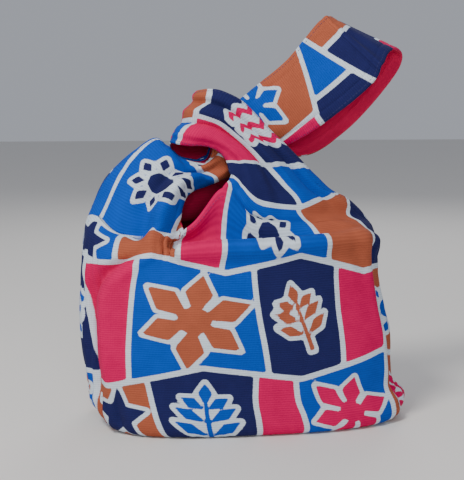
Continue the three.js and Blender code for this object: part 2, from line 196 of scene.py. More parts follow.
# Folds that run up the cloth, from a low to a high row with soft ends. They lie across at a
# share of the width and lean sideways near the body's top.
UPRIGHT_FOLDS = table(
    "piece panel across lean wide low softLow high softHigh depth",
    ("body", "front", 0.148, 0.12, 0.024, 3.2, 2, 12.6, 1.6, 2.6),
    ("body", "front", 0.096, 0.12, 0.027, 3.2, 2, 12.6, 1.6, -6.5),
    ("body", "front", 0.872, -0.03, 0.022, 3.2, 2, 12.6, 1.6, 2.2),
    ("body", "front", 0.917, -0.03, 0.024, 3.2, 2, 12.6, 1.6, -4.5),
    ("body", "back", 0.12, 0, 0.024, 3.2, 2, 12.6, 1.6, 2.0),
    ("body", "back", 0.068, 0, 0.027, 3.2, 2, 12.6, 1.6, -4.9),
    ("body", "back", 0.9, 0, 0.022, 3.2, 2, 12.6, 1.6, 1.7),
    ("body", "back", 0.945, 0, 0.024, 3.2, 2, 12.6, 1.6, -3.4),
    ("body", "front", 0.266, 0, 0.024, 11.4, 2.2, NO_END, 1, 7.0),
    ("body", "front", 0.21, 0, 0.03, 11.4, 2.2, NO_END, 1, -4.0),
    ("body", "front", 0.325, 0, 0.016, 11.4, 2.2, NO_END, 1, -5.0),
    ("body", "back", 0.266, 0, 0.024, 11.4, 2.2, NO_END, 1, 5.2),
    ("body", "back", 0.21, 0, 0.03, 11.4, 2.2, NO_END, 1, -3.0),
    ("body", "back", 0.325, 0, 0.016, 11.4, 2.2, NO_END, 1, -3.7),
    ("long strap", "front", 0.78, 0, 0.075, -NO_END, 1, 7, 2, 8.0),
    ("long strap", "front", 0.6, 0, 0.09, -NO_END, 1, 7, 2, -5.0),
    ("long strap", "front", 1.0, 0, 0.085, -NO_END, 1, 7, 2, -4.5),
    ("short strap", "both", 0.5, 0, FULL, 0, 3, 11.6, 2.5, 1.4),
    ("short strap", "both", 0.2, 0, 0.11, 0, 3, 11.6, 2.5, 3.4),
    ("short strap", "both", 0.4, 0, 0.07, 0, 3, 11.6, 2.5, -2.6),
    ("short strap", "both", 0.58, 0, 0.1, 0, 3, 11.6, 2.5, 2.8),
    ("short strap", "both", 0.76, 0, 0.06, 0, 3, 11.6, 2.5, -2.8),
    ("short strap", "both", 0.9, 0, 0.06, 0, 3, 11.6, 2.5, 1.5),
)
LEAN_FROM = 9.3
LEAN_OVER = 2.8

# Folds that run across the cloth at a row, from a left to a right share with soft ends.
LEVEL_FOLDS = table(
    "piece panel up tall left softLeft right softRight depth",
    ("body", "both", 11.75, 0.55, 0.3, 0.05, 0.98, 0.06, 4.2),
    ("body", "both", 12.95, 0.55, 0.3, 0.05, 0.75, 0.3, -7.0),
    ("long strap", "front", 13.7, 0.22, -FULL, 1, FULL, 1, 3.4),
    ("long strap", "front", 14.4, 0.45, -FULL, 1, FULL, 1, -1.6),
)

# Rows of close parallel folds: a count of them to the full width, how far each row up shifts
# them, and how much they wander.
GATHERS = table(
    "piece panel across wide low softLow high softHigh count shift wander depth",
    ("body", "front", 0.085, 0.055, 3.2, 2, 12.6, 1.6, 42, 0, 0.45, 2.3),
    ("body", "front", 0.93, 0.045, 3.2, 2, 12.6, 1.6, 36, 0, 0.45, 1.6),
    ("body", "back", 0.085, 0.055, 3.2, 2, 12.6, 1.6, 42, 0, 0.45, 1.7),
    ("body", "back", 0.93, 0.045, 3.2, 2, 12.6, 1.6, 36, 0, 0.45, 1.2),
    ("body", "both", 0.314, 0.026, 10.9, 1.1, 14.0, 1.1, 54, 0.16, 0.14, 4.4),
    ("body", "both", 0.86, 0.05, 9.6, 1.6, 12.8, 1.6, 9, 0.35, 0, -3.2),
    ("body", "both", 0.5, FULL, 2.2, 1.4, 5.4, 1.8, 40, 0, 0.45, 0.5),
    ("long strap", "both", 0.5, FULL, 2, 4, 11.2, 4, 3.3, 0.1, 0.35, 1.4),
    ("long strap", "both", 0.5, FULL, 0.2, 2, 5, 2.6, 2.4, 0, 0.35, 0.8),
    ("short strap", "both", 0.5, FULL, 0, 3, 11.6, 2.5, 7.3, 0, 0.48, 0.7),
)
WANDER = {"size": 38, "seed": 4}
RIPPLE_SHARPNESS = 1.6
RIPPLE_MEAN = 0.45

# Wrinkles with no set place: smooth noise of a size, drawn out along the axes and leaning
# sideways by a share of its height.
WRINKLES = table(
    "piece size drawn lean seed left right low high soft depth",
    ("body", 46, (1, 1, 1), 0, 1, -FULL, FULL, 3, NO_END, 3, 1.5),
    ("body", 17, (1, 1, 1), 0, 2, -FULL, FULL, 3, NO_END, 3, 0.45),
    ("body", 15, (1, 1, 0.35), 0, 3, -FULL, 0.17, 3.2, 12.6, 1.8, 0.7),
    ("body", 15, (1, 1, 0.35), 0, 3, 0.86, FULL, 3.2, 12.6, 1.8, 0.6),
    ("body", 13, (0.45, 1.6, 1.6), 0, 5, 0.46, 0.98, 12.6, NO_END, 1.2, 1.8),
    ("body", 16, (1, 1, 0.25), 0.45, 6, 0.12, 0.9, 8.3, 12.7, 2.2, 0.55),
    ("long strap", 46, (1, 1, 1), 0, 1, -FULL, FULL, -NO_END, 5.5, 2.5, 0.9),
    ("long strap", 46, (1, 1, 1), 0, 1, -FULL, FULL, 9.5, NO_END, 2.5, 0.9),
    ("long strap", 17, (1, 1, 1), 0, 2, -FULL, FULL, -NO_END, NO_END, 1, 0.35),
    ("long strap", 34, (1, 1, 1), 0, 8, -FULL, FULL, 10, NO_END, 2, 0.7),
    ("short strap", 46, (1, 1, 1), 0, 1, -FULL, FULL, -NO_END, 3.6, 2.5, 0.7),
    ("short strap", 17, (1, 1, 1), 0, 2, -FULL, FULL, -NO_END, NO_END, 1, 0.35),
)
WRINKLE_ENDS = 0.1

# How the turned-in edges show: a groove where the cloth turned in ends, puckers along the
# stitches. On the body they start at a row near its top.
STITCH_INSET = 3.0
TURNED_IN = 8.5
GROOVE_SPREAD = 1.3
GROOVE_DEPTH = 0.75
GROOVE_LEAST = 0.7
GROOVE_CHANGE = 0.5
GROOVE_NOISE = {"size": 46, "seed": 1}
PUCKER_SPREAD = 2.5
PUCKER_DEPTH = 0.35
PUCKER_NOISE = {"size": 5, "seed": 11}
SEWN_FROM = 12.5
SEWN_OVER = 1.5
# The base stays flat up to a row, and a strap takes its folds from the body at first.
FLAT_BASE = 2.2
FLAT_BASE_OVER = 1.2
JOINED_OVER = 0.8


def smooth(t):
    t = np.clip(t, 0, 1)
    return t * t * (3 - 2 * t)


def bell(value, middle, spread):
    return np.exp(-(((value - middle) / spread) ** 2))


def stretch(value, low, soft_low, high, soft_high):
    """1 between two places, with soft ends of their own lengths inside them."""
    return smooth((value - low) / soft_low) * smooth((high - value) / soft_high)


def reach_up(row, place):
    """How much of a row's fold there is at each place up the cloth."""
    return stretch(place, row["low"], row["softLow"], row["high"], row["softHigh"])


# The mesh's columns stand close together at sewn edges and where the pleats are, its rows at the
# top edge. Steps are millimetres, lengths those of the shoulders.
EDGE_STEPS = np.array([0, 0.4, 0.9, 1.6, 2.6])
LEFT_LENGTH = 70.0
LEFT_COLUMNS = 70
RIGHT_LENGTH = 90.0
RIGHT_COLUMNS = 84
MOUTH_COLUMNS = 16
PLEATS_FROM = 0.22
BODY_STEPS = 8
STRAP_STEPS = 8
TOP_EDGE_STEPS = [0, 0.15, 0.3, 0.45, 0.6, 0.72, 0.82, 0.9, 0.95, 0.98]


def spread_columns(start, end, count, length):
    """Column shares from start to end, close together within 3 mm of both edges."""
    near = EDGE_STEPS / length
    inner = np.linspace(near[-1], 1 - near[-1], count)
    shares = np.concatenate([near[:-1], inner, 1 - near[:-1][::-1]])
    return start + (end - start) * shares


def column_shares():
    left = spread_columns(0, MOUTH_LEFT, LEFT_COLUMNS, LEFT_LENGTH)
    left = np.interp(left, [0, MOUTH_LEFT / 2, MOUTH_LEFT], [0, PLEATS_FROM, MOUTH_LEFT])
    mouth = np.linspace(MOUTH_LEFT, MOUTH_RIGHT, MOUTH_COLUMNS + 1)
    right = spread_columns(MOUTH_RIGHT, 1, RIGHT_COLUMNS, RIGHT_LENGTH)
    return np.concatenate([left, mouth[1:-1], right]), len(left) - 1


SHARES, LEFT_END = column_shares()
RIGHT_START = LEFT_END + MOUTH_COLUMNS


def level(row, side):
    """One level of the body as points at all column shares."""
    turn = np.linspace(0, math.pi, LEVEL_POINTS)
    half = (row["reachLeft"] + row["reachRight"]) / 2 * HALF_WIDTH
    middle = (row["reachRight"] - row["reachLeft"]) / 2 * HALF_WIDTH
    power = 2 / row["squareness"]
    x = -np.sign(np.cos(turn)) * half * np.abs(np.cos(turn)) ** power
    share = smooth(x / half / FORWARD_BLEND + 1)
    forward = (row["forwardLeft"] * (1 - share) + row["forwardRight"] * share) * HALF_DEPTH
    y = forward * np.abs(np.sin(turn)) ** power
    length = np.concatenate([[0], np.cumsum(np.hypot(np.diff(x), np.diff(y)))])
    at = SHARES * length[-1]
    heights = [row[name] for name in HEIGHT_NAMES]
    z = np.zeros(len(SHARES))
    for k in range(len(heights) - 1):
        low, high = HEIGHT_PLACES[k], HEIGHT_PLACES[k + 1]
        inside = (SHARES >= low) & (SHARES <= high)
        part = smooth((SHARES[inside] - low) / (high - low))
        z[inside] = heights[k] + (heights[k + 1] - heights[k]) * part
    if side > 0:
        z += row["backRise"] * bell(SHARES, MOUTH_MIDDLE, RISE_SPREAD) * np.sin(math.pi * SHARES)
    x = middle + np.interp(at, length, x)
    y = side * np.interp(at, length, y)
    return np.stack([x, y, z * BODY_HEIGHT], 1)


def between(keys, k, t):
    """Smooth curve through key rows k and k + 1."""
    a, b = keys[max(k - 1, 0)], keys[k]
    c, d = keys[min(k + 1, len(keys) - 1)], keys[min(k + 2, len(keys) - 1)]
    square = (2 * a - 5 * b + 4 * c - d) * t**2
    cube = (3 * b - a - 3 * c + d) * t**3
    return 0.5 * (2 * b + (c - a) * t + square + cube)


def body_rows(side):
    """Rows of a body panel, their places among the table's rows, and the table's own rows."""
    keys = [level(row, side) for row in BODY_ROWS]
    rows, places = [], []
    for k in range(TOP_ROW):
        steps = TOP_EDGE_STEPS if k == TOP_ROW - 1 else np.arange(BODY_STEPS) / BODY_STEPS
        for t in steps:
            rows.append(between(keys, k, t))
            places.append(k + t)
    rows.append(keys[-1])
    places.append(TOP_ROW)
    points = np.array(rows)
    points[:, :, 2] = np.maximum(points[:, :, 2], 0)
    return points, np.array(places), keys


STRAPS = {
    "long strap": {
        "rows": {"front": LONG_STRAP_FRONT, "back": LONG_STRAP_BACK},
        "depth": SQUEEZED_DEPTH,
        "columns": (0, LEFT_END),
        "outer_first": True,
    },
    "short strap": {
        "rows": {"front": SHORT_STRAP_FRONT, "back": SHORT_STRAP_BACK},
        "depth": SLEEVE_DEPTH,
        "columns": (RIGHT_START, len(SHARES) - 1),
        "outer_first": False,
    },
}


def strap_rows(name, panel, lead):
    """Rows of a strap half, with columns from left to right. The lead rows are the body's."""
    strap = STRAPS[name]
    deep = strap["depth"]
    widths = np.linalg.norm(np.diff(lead[1], axis=0), axis=1)
    shares = np.concatenate([[0], np.cumsum(widths)]) / widths.sum()
    arch = np.clip(4 * shares * (1 - shares), 0, 1) ** STRAP_ARCH
    keys = list(lead)
    for row in strap["rows"][panel]:
        ends = []
        for edge in ("outer", "inner"):
            x, y, z = (row[edge + axis] for axis in "XYZ")
            ends.append(np.array([x * HALF_WIDTH, y * deep, BODY_HEIGHT + z * STRAP_RISE]))
        start, end = ends if strap["outer_first"] else ends[::-1]
        points = start + (end - start) * shares[:, None]
        points[:, 1] += SIDES[panel] * row["bulge"] * deep * arch
        keys.append(points)
    made, places = [], []
    for k in range(1, len(keys) - 1):
        for step in range(STRAP_STEPS):
            made.append(between(keys, k, step / STRAP_STEPS))
            places.append(k - 1 + step / STRAP_STEPS)
    made.append(keys[-1])
    places.append(len(keys) - 2)
    return np.array(made), np.array(places)


def lengths_up(points):
    steps = np.linalg.norm(np.diff(points, axis=0), axis=2).mean(1)
    return np.concatenate([[0], np.cumsum(steps)])


def lengths_across(points):
    steps = np.linalg.norm(np.diff(points, axis=1), axis=2)
    return np.concatenate([np.zeros((len(points), 1)), np.cumsum(steps, 1)], 1)


def field(points, size, seed):
    """Smooth seeded noise from -1 to 1 at each point, its size in millimetres."""
    shift = Vector((seed * 17.3, seed * 5.1, seed * 9.7))
    flat = points.reshape(-1, 3) / size
    return np.array([noise.noise(Vector(p) + shift) for p in flat]).reshape(points.shape[:-1])


# The middle surface of the bag: front and back share the vertices of their seams.
points_of = []
grids = {"front": [], "back": []}
STRAP_FLAT_WIDTH = 64.0
NARROWED_OVER = 4
WAIST_PLACE = 8


def add_points(points, shared):
    """Numbers for a grid of points, taking those it shares from another grid."""
    ids = shared.copy()
    new = ids < 0
    start = sum(len(part) for part in points_of)
    ids[new] = start + np.arange(new.sum())
    points_of.append(points[new])
    return ids


def at_every_point(shape, **values):
    return {name: np.broadcast_to(value, shape) for name, value in values.items()}


def body_grid(panel):
    """A body panel's points with their places, flat lengths, and distances to sewn edges."""
    points, places, keys = body_rows(SIDES[panel])
    shape = points.shape[:2]
    shared = np.full(shape, -1)
    if panel == "back":
        other = grids["front"][0]["ids"]
        for edge in (np.s_[0, :], np.s_[:, 0], np.s_[:, -1]):
            shared[edge] = other[edge]
    across = lengths_across(points)
    up = lengths_up(points)[:, None]
    waist = across[np.searchsorted(places, WAIST_PLACE)]
    flat = waist - waist[-1] / 2
    beside_mouth = np.maximum(0, np.maximum(flat[LEFT_END] - flat, flat - flat[RIGHT_START]))
    grid = at_every_point(
        shape,
        share=SHARES,
        place=places[:, None],
        across=SHARES,
        level=places[:, None],
        u=flat,
        v=up,
        edge=np.hypot(beside_mouth[None, :], up[-1] - up),
        seam=np.minimum(np.minimum(across, across[:, -1:] - across), up),
    )
    grid.update(name="body", ids=add_points(points, shared), points=points)
    return grid, keys


def strap_grid(name, panel, keys):
    """A strap half's points, rising from the body's top row between two of its columns."""
    first, last = STRAPS[name]["columns"]
    lead = [key[first : last + 1] for key in keys[-2:]]
    points, places = strap_rows(name, panel, lead)
    shape = points.shape[:2]
    body = grids[panel][0]
    shared = np.full(shape, -1)
    shared[0] = body["ids"][-1, first : last + 1]
    if panel == "back":
        front_half = next(grid for grid in grids["front"] if grid["name"] == name)
        shared[-1] = front_half["ids"][-1]
    across, up = lengths_across(points), lengths_up(points)[:, None]
    width = across[:, -1:]
    share = across / width
    flat = body["u"][0][first : last + 1]
    narrow = smooth(places / NARROWED_OVER)[:, None]
    flat_width = (flat[-1] - flat[0]) * (1 - narrow) + STRAP_FLAT_WIDTH * narrow
    start, end = SHARES[first], SHARES[last]
    grid = at_every_point(
        shape,
        share=share,
        place=places[:, None],
        across=start + share * (end - start),
        level=TOP_ROW + places[:, None],
        u=(flat[0] + flat[-1]) / 2 + (share - 0.5) * flat_width,
        v=body["v"][-1, 0] + up,
        edge=np.minimum(across, width - across),
        seam=up[-1] - up,
    )
    grid.update(name=name, ids=add_points(points, shared), points=points)
    return grid


for panel in SIDES:
    body, body_keys = body_grid(panel)
    grids[panel].append(body)
    for strap_name in STRAPS:
        grids[panel].append(strap_grid(strap_name, panel, body_keys))
surface = np.concatenate(points_of)


def quads(grid, side):
    ids = grid["ids"]
    four = [ids[:-1, :-1], ids[:-1, 1:], ids[1:, 1:], ids[1:, :-1]]
    return np.stack([part.ravel() for part in (four if side < 0 else four[::-1])], 1)


FACES = {
    panel: np.concatenate([quads(grid, side) for grid in grids[panel]])
    for panel, side in SIDES.items()
}


def normals_of(points):
    total = np.zeros_like(points)
    for faces in FACES.values():
        a, b, c, d = (points[faces[:, k]] for k in range(4))
        normal = np.cross(c - a, d - b)
        for k in range(4):
            np.add.at(total, faces[:, k], normal)
    return total / np.maximum(np.linalg.norm(total, axis=1, keepdims=True), 1e-9)


def values_of(name):
    """One value or vector per vertex of the middle surface, the front's on shared seams."""
    wide = grids["front"][0][name].shape[2:]
    made = np.zeros((len(surface), *wide))
    for panel in ("back", "front"):
        for grid in grids[panel][::-1]:
            made[grid["ids"].ravel()] = grid[name].reshape(-1, *wide)
    return made


# Where the cloth is drawn along itself: round a middle across, with a spread on either side of
# it, from a low to a high level with soft ends. Levels go on up the straps from the body's top.
# The moves are in millimetres.
DRAWN = table(
    "panel middle wideLeft wideRight low softLow high softHigh move",
    ("front", MOUTH_RIGHT, 0.055, 0.075, 12, 2, 18.2, 4.2, (5.0, 2.5, 27.0)),
    ("back", MOUTH_MIDDLE, 0.085, 0.085, 11.2, 2.8, 17.4, 3.4, (0, -42.0, 5.0)),
)
# The shelf of cloth beside the mouth on the front, drawn into a crease with a crest below it.
SHELF = table(
    "up tall move",
    (12.6, 0.5, (0, 5.0, -9.0)),
    (11.75, 0.5, (0, -3.0, 2.0)),
)
SHELF_LEFT, SHELF_LEFT_SOFT = 0.3, 0.05
SHELF_RIGHT, SHELF_RIGHT_SOFT = 0.86, 0.4
# The back of the short strap hangs lower behind the knot, by millimetres at its inner edge.
LOWERED = -15.0
LOWERED_AT, LOWERED_TALL, LOWERED_WIDE = 7.6, 1.9, 0.7
# The knot draws the outer part of the long strap in towards one of its columns.
THROAT_AT, THROAT_TALL = 6.4, 1.1
THROAT_TIGHTNESS = 0.62
THROAT_COLUMN = 0.6
THROAT_END, THROAT_SOFT = 0.62, 0.4


def slides(panel, grid):
    """How far each point of a grid is drawn along the cloth, in millimetres."""
    points, share, place = grid["points"], grid["share"], grid["place"]
    moved = np.zeros_like(points)
    for row in DRAWN:
        if row["panel"] == panel:
            beside = np.where(grid["across"] < row["middle"], row["wideLeft"], row["wideRight"])
            strength = bell(grid["across"], row["middle"], beside) * reach_up(row, grid["level"])
            moved += strength[..., None] * np.array(row["move"])
    if panel == "front" and grid["name"] == "body":
        shelf = stretch(share, SHELF_LEFT, SHELF_LEFT_SOFT, SHELF_RIGHT, SHELF_RIGHT_SOFT)
        for row in SHELF:
            strength = shelf * bell(place, row["up"], row["tall"])
            moved += strength[..., None] * np.array(row["move"])
    if panel == "back" and grid["name"] == "short strap":
        reach = bell(place, LOWERED_AT, LOWERED_TALL) * smooth(1 - share / LOWERED_WIDE)
        moved[..., 2] += LOWERED * reach
    if grid["name"] == "long strap":
        middle = points[:, int(points.shape[1] * THROAT_COLUMN)][:, None]
        tight = bell(place, THROAT_AT, THROAT_TALL) * smooth((THROAT_END - share) / THROAT_SOFT)
        moved += THROAT_TIGHTNESS * tight[..., None] * (middle - points)
    return moved


def rows_for(rows, panel, grid):
    """A fold table's rows for this grid, on this panel or on both."""
    return [row for row in rows if row["piece"] == grid["name"] and row["panel"] in (panel, "both")]


def ripples(turns):
    """Soft parallel folds: rounded on top, narrower in the valleys."""
    wave = 0.5 + 0.5 * np.sin(2 * math.pi * turns)
    return wave**RIPPLE_SHARPNESS - RIPPLE_MEAN


def wrinkles(grid):
    """The noise of the cloth's loose wrinkles."""
    points, share, place = grid["points"], grid["share"], grid["place"]
    height = np.zeros(share.shape)
    for row in WRINKLES:
        if row["piece"] == grid["name"]:
            drawn = points * np.array(row["drawn"])
            drawn[..., 0] += row["lean"] * points[..., 2]
            reach = stretch(share, row["left"], WRINKLE_ENDS, row["right"], WRINKLE_ENDS)
            reach = reach * stretch(place, row["low"], row["soft"], row["high"], row["soft"])
            height += row["depth"] * reach * field(drawn, row["size"], row["seed"])
    return height


def folds(panel, grid):
    """The folds that have a set place."""
    share, place = grid["share"], grid["place"]
    height = np.zeros(share.shape)
    wander = field(grid["points"], **WANDER)
    for row in rows_for(UPRIGHT_FOLDS, panel, grid):
        across = row["across"] + row["lean"] * smooth((place - LEAN_FROM) / LEAN_OVER)
        height += row["depth"] * bell(share, across, row["wide"]) * reach_up(row, place)
    for row in rows_for(LEVEL_FOLDS, panel, grid):
        reach = stretch(share, row["left"], row["softLeft"], row["right"], row["softRight"])
        height += row["depth"] * bell(place, row["up"], row["tall"]) * reach
    for row in rows_for(GATHERS, panel, grid):
        turns = share * row["count"] + row["shift"] * place + row["wander"] * wander
        reach = bell(share, row["across"], row["wide"]) * reach_up(row, place)
        height += row["depth"] * reach * ripples(turns)
    return height


def sewn_edges(grid):
    """The groove and puckers beside a sewn edge."""
    uneven = GROOVE_LEAST + GROOVE_CHANGE * field(grid["points"], **GROOVE_NOISE)
    groove = GROOVE_DEPTH * bell(grid["edge"], TURNED_IN, GROOVE_SPREAD) * uneven
    puckers = field(grid["points"], **PUCKER_NOISE)
    return PUCKER_DEPTH * bell(grid["edge"], STITCH_INSET, PUCKER_SPREAD) * puckers - groove


def fold_height(panel, grid):
    """How far each point of a grid lies out from the middle surface, in millimetres."""
    share, place = grid["share"], grid["place"]
    height = folds(panel, grid) + wrinkles(grid)
    if grid["name"] == "body":
        for row in HOLLOWS:
            if row["panel"] in (panel, "both"):
                reach = bell(share, row["across"], row["wide"]) * bell(place, row["up"], row["tall"])
                height += row["depth"] * reach
        height += sewn_edges(grid) * smooth((place - SEWN_FROM) / SEWN_OVER)
        return height * smooth((place - FLAT_BASE) / FLAT_BASE_OVER)
    first, last = STRAPS[grid["name"]]["columns"]
    top = grids[panel][0]["height"][-1, first : last + 1]
    joined = smooth(place / JOINED_OVER)
    return (height + sewn_edges(grid)) * joined + top * (1 - joined)


for panel in SIDES:
    for grid in grids[panel]:
        grid["slide"] = slides(panel, grid)
        grid["height"] = fold_height(panel, grid)
surface = surface + values_of("slide")
surface = surface + normals_of(surface) * values_of("height")[:, None]
normal = normals_of(surface)
edge = values_of("edge")
seam = values_of("seam")


# The print: bands of patches in four colours between off-white lines, some patches with a
# cut-out motif in another colour. Lengths are cloth millimetres.
LINE = 2.1
MOTIF_LINE = 3.1
FAR = 6.0
BANDS = table(
    "low high tilt",
    (-40, 34, 0.02),
    (34, 100, -0.035),
    (100, 182, 0.03),
    (182, 228, -0.05),
    (228, 282, 0.16),
    (282, 330, -0.14),
    (330, 386, 0.18),
    (386, 442, -0.16),
    (442, 600, 0.12),
)
PATCHES = table(
    "band width colour motif motifColour",
    (0, 120, "blue"),
    (0, 90, "terracotta"),
    (0, 110, "navy"),
    (0, 120, "pink"),
    (1, 66, "blue", "wave", "terracotta"),
    (1, 58, "terracotta", "star", "navy"),
    (1, 74, "navy", "sprig", "blue"),
    (1, 34, "pink"),
    (1, 76, "blue", "bloom", "pink"),
    (1, 56, "terracotta", "sprig", "pink"),
    (1, 80, "navy", "wave", "blue"),
    (2, 50, "navy", "wave", "blue"),
    (2, 44, "pink"),
    (2, 98, "blue", "bloom", "terracotta"),
    (2, 64, "navy", "sprig", "terracotta"),
    (2, 42, "pink"),
    (2, 52, "terracotta", "sun", "blue"),
    (2, 80, "blue"),
    (3, 50, "terracotta", "wave", "blue"),
    (3, 62, "blue", "star", "navy"),
    (3, 54, "terracotta"),
    (3, 36, "pink"),
    (3, 82, "blue", "sun", "navy"),
    (3, 52, "terracotta"),
    (3, 90, "navy", "star", "pink"),
    (4, 66, "blue"),
    (4, 76, "blue", "sun", "navy"),
    (4, 64, "terracotta"),
    (4, 60, "navy"),
    (4, 46, "blue"),
    (4, 44, "terracotta"),
    (4, 90, "pink"),
    (5, 72, "navy", "wave", "pink"),
    (5, 44, "terracotta"),
    (5, 70, "blue"),
    (5, 62, "pink"),
    (5, 44, "navy", "wave", "pink"),
    (5, 96, "blue"),
    (6, 56, "blue"),
    (6, 80, "terracotta", "bloom", "blue"),
    (6, 72, "pink"),
    (6, 70, "blue"),
    (6, 60, "terracotta"),
    (6, 66, "navy"),
    (7, 46, "terracotta"),
    (7, 62, "blue"),
    (7, 56, "navy"),
    (7, 74, "pink"),
    (7, 76, "terracotta"),
    (7, 90, "navy"),
    (8, 70, "terracotta"),
    (8, 70, "navy", "star", "terracotta"),
    (8, 80, "blue"),
    (8, 78, "pink"),
    (8, 90, "navy"),
)
COLOURS = {
    "blue": (0.003, 0.070, 0.43),
    "navy": (0.014, 0.016, 0.088),
    "terracotta": (0.39, 0.096, 0.048),
    "pink": (0.62, 0.001, 0.092),
}
OFF_WHITE = (0.62, 0.70, 0.78)
# How the lines between patches lean, taken in turn, and how motifs are turned, in degrees.
LEANS = (0.12, -0.09, 0.05, -0.14, 0.1, -0.05, 0.08)
MOTIF_TURNS = (-9, 7, -4, 12)
PRINT_LEFT = -215.0
PRINT_STEP = 17.0
JOG_LENGTH = 118.0
JOG_STEP = 14.0
JOG_START = 0.37
JOG_HEIGHT = 13.0
MOTIF_MARGIN = 3.0
WIDEST_MOTIF = 1.25
LEAF_WIDEST_AT = 0.55


def kite(angle, start, length, width, y=0.0):
    """A pointed leaf from its stalk end, angle in degrees from upright."""
    turn = math.radians(angle)
    along = np.array([math.sin(turn), math.cos(turn)])
    beside = np.array([math.cos(turn), -math.sin(turn)]) * width / 2
    foot = np.array([0, y]) + along * start
    middle = foot + along * length * LEAF_WIDEST_AT
    return np.array([foot, middle + beside, foot + along * length, middle - beside])


def ring(radii, count, turn=0.0):
    """Corners round a centre, their distances taken in turn from radii."""
    corners = []
    for k in range(count):
        angle = 2 * math.pi * k / count + turn
        radius = radii[k % len(radii)]
        corners.append((radius * math.sin(angle), radius * math.cos(angle)))
    return np.array(corners)


def sprig():
    stalk = np.array([(-0.07, -0.95), (0.07, -0.95), (0.05, 0.45), (-0.04, 0.45)])
    shapes = [stalk, kite(0, 0, 0.62, 0.34, 0.35)]
    for height, reach in ((-0.5, 0.85), (-0.1, 0.8), (0.25, 0.62)):
        shapes += [kite(angle, 0.03, reach, 0.3, height) for angle in (-62, 58)]
    return shapes


def sun():
    return [ring([0.42], 9)] + [kite(40 * k + 12, 0.5, 0.46, 0.3) for k in range(9)]


def bloom():
    return [ring([0.3], 8)] + [kite(60 * k + 8, 0.1, 0.86 + 0.1 * (k % 2), 0.5) for k in range(6)]


def star():
    return [ring([0.95, 0.42], 10, 0.2)]


def wave():
    shapes = []
    for base in (-0.62, 0.0, 0.62):
        top = [(-0.9 + 0.3 * k, base + (0.26 if k % 2 else 0.02)) for k in range(7)]
        shapes.append(np.array(top + [(x, y - 0.26) for x, y in top[::-1]]))
    return shapes


MOTIFS = {"sprig": sprig(), "sun": sun(), "bloom": bloom(), "star": star(), "wave": wave()}


def polygon_distance(x, y, corners):
    """Distance to a polygon's outline, negative inside."""
    nearest = np.full(x.shape, np.inf)
    inside = np.zeros(x.shape, bool)
    for (x0, y0), (x1, y1) in zip(corners, np.roll(corners, -1, 0)):
        dx, dy = x1 - x0, y1 - y0
        t = np.clip(((x - x0) * dx + (y - y0) * dy) / (dx * dx + dy * dy), 0, 1)
        nearest = np.minimum(nearest, np.hypot(x - x0 - t * dx, y - y0 - t * dy))
        if dy != 0:
            inside ^= ((y0 > y) != (y1 > y)) & (x < x0 + (y - y0) / dy * dx)
    return np.where(inside, -nearest, nearest)


def motif_distance(name, x, y, turn, wide, high):
    """Distance in millimetres to a motif that is turned and stretched about its centre."""
    along, beside = math.cos(math.radians(turn)), math.sin(math.radians(turn))
    x, y = (x * along + y * beside) / wide, (y * along - x * beside) / high
    shapes = [polygon_distance(x, y, corners) for corners in MOTIFS[name]]
    return np.minimum.reduce(shapes) * (wide + high) / 2


def jog(u, number):
    """The steps of a line between two bands of patches, in millimetres."""
    phase = u / (JOG_LENGTH + JOG_STEP * (number % 3)) + JOG_START * number
    return JOG_HEIGHT * (np.abs(2 * (phase - np.floor(phase + 0.5))) - 0.5)


def print_fields(u, v):
    """For each colour, the distance in millimetres to its nearest area, negative inside."""
    fields = {name: np.full(u.shape, FAR) for name in COLOURS}
    for number, band in enumerate(BANDS):
        above = BANDS[number + 1]["tilt"] if number + 1 < len(BANDS) else 0
        low = band["low"] + band["tilt"] * u + jog(u, number)
        high = band["high"] + above * u + jog(u, number + 1)
        in_band = np.maximum(low - v, v - high) + LINE
        middle = (band["low"] + band["high"]) / 2
        tilt = (band["tilt"] + above) / 2
        left = PRINT_LEFT + PRINT_STEP * (number % 3)
        for k, patch in enumerate(row for row in PATCHES if row["band"] == number):
            right = left + patch["width"]
            starts = left + LEANS[(k + number) % len(LEANS)] * (v - middle)
            ends = right + LEANS[(k + number + 1) % len(LEANS)] * (v - middle)
            area = np.maximum(in_band, np.maximum(starts - u, u - ends) + LINE)
            centre = (left + right) / 2
            left = right
            if area.min() > FAR:
                continue
            if "motif" in patch:
                reach = patch["width"] / 2 - LINE - MOTIF_MARGIN
                half = min(reach, (band["high"] - band["low"]) / 2 - LINE - MOTIF_MARGIN)
                wide = min(WIDEST_MOTIF * half, reach)
                turn = MOTIF_TURNS[k % len(MOTIF_TURNS)]
                x, y = u - centre, v - middle - tilt * centre
                shape = motif_distance(patch["motif"], x, y, turn, wide, half)
                motif_area = fields[patch["motifColour"]]
                fields[patch["motifColour"]] = np.minimum(motif_area, np.maximum(shape, area))
                area = np.maximum(area, MOTIF_LINE - shape)
            fields[patch["colour"]] = np.minimum(fields[patch["colour"]], area)
    return {name: np.clip(value, -FAR, FAR) for name, value in fields.items()}


# Cloth layers as closed pieces, rounded where they are turned in and sewn to the other layer.
EDGE_ROUNDING = 1.5
THINNEST = 0.12
NARROWEST_GAP = 0.15
SEAM_DIP = 0.5
SEAM_DIP_SPREAD = 1.4
# Cloth millimetres to one unit of the UV map, and how far the back's print is shifted.
UV_UNIT = 100.0
BACK_PRINT_SHIFT = 31.0


def placed(points):
    """Points of the middle surface moved to where the solids stand."""
    return points + np.array([CENTRE_SHIFT, 0, OUTER_FACE])


def set_sockets(node, values):
    for socket, value in values.items():
        node.inputs[socket].default_value = value


